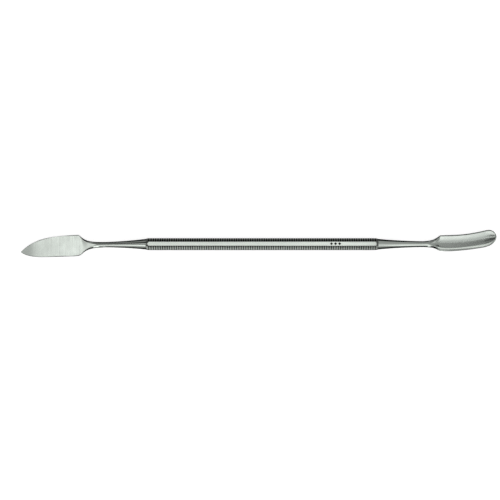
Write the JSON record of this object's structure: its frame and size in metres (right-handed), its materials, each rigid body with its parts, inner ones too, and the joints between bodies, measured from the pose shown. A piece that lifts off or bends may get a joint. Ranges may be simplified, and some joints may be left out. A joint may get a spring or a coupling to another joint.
{
  "type": "sculpting spatula",
  "caption": "Double-ended steel sculpting spatula: octagonal handle bar with serrated corner facets, a flat pointed leaf blade at one end and a long shallow scoop swept sideways at the other.",
  "frame": {"origin": "middle of the handle bar's underside facet, which the tool rests on", "axes": "+X along the handle towards the scoop, +Y towards the side that the scoop sweeps to, +Z out of the working faces"},
  "size_m": [0.1751, 0.01, 0.0043],
  "materials": {
    "bar_steel": "ground flats with cut serrations",
    "leaf_steel": "satin blade, polished shank",
    "scoop_steel": "satin trough, polished shank"
  },
  "bodies": {
    "root": {"handle_bar": "bar_steel", "leaf_blade": "leaf_steel", "scoop_blade": "scoop_steel"}
  },
  "joints": []
}
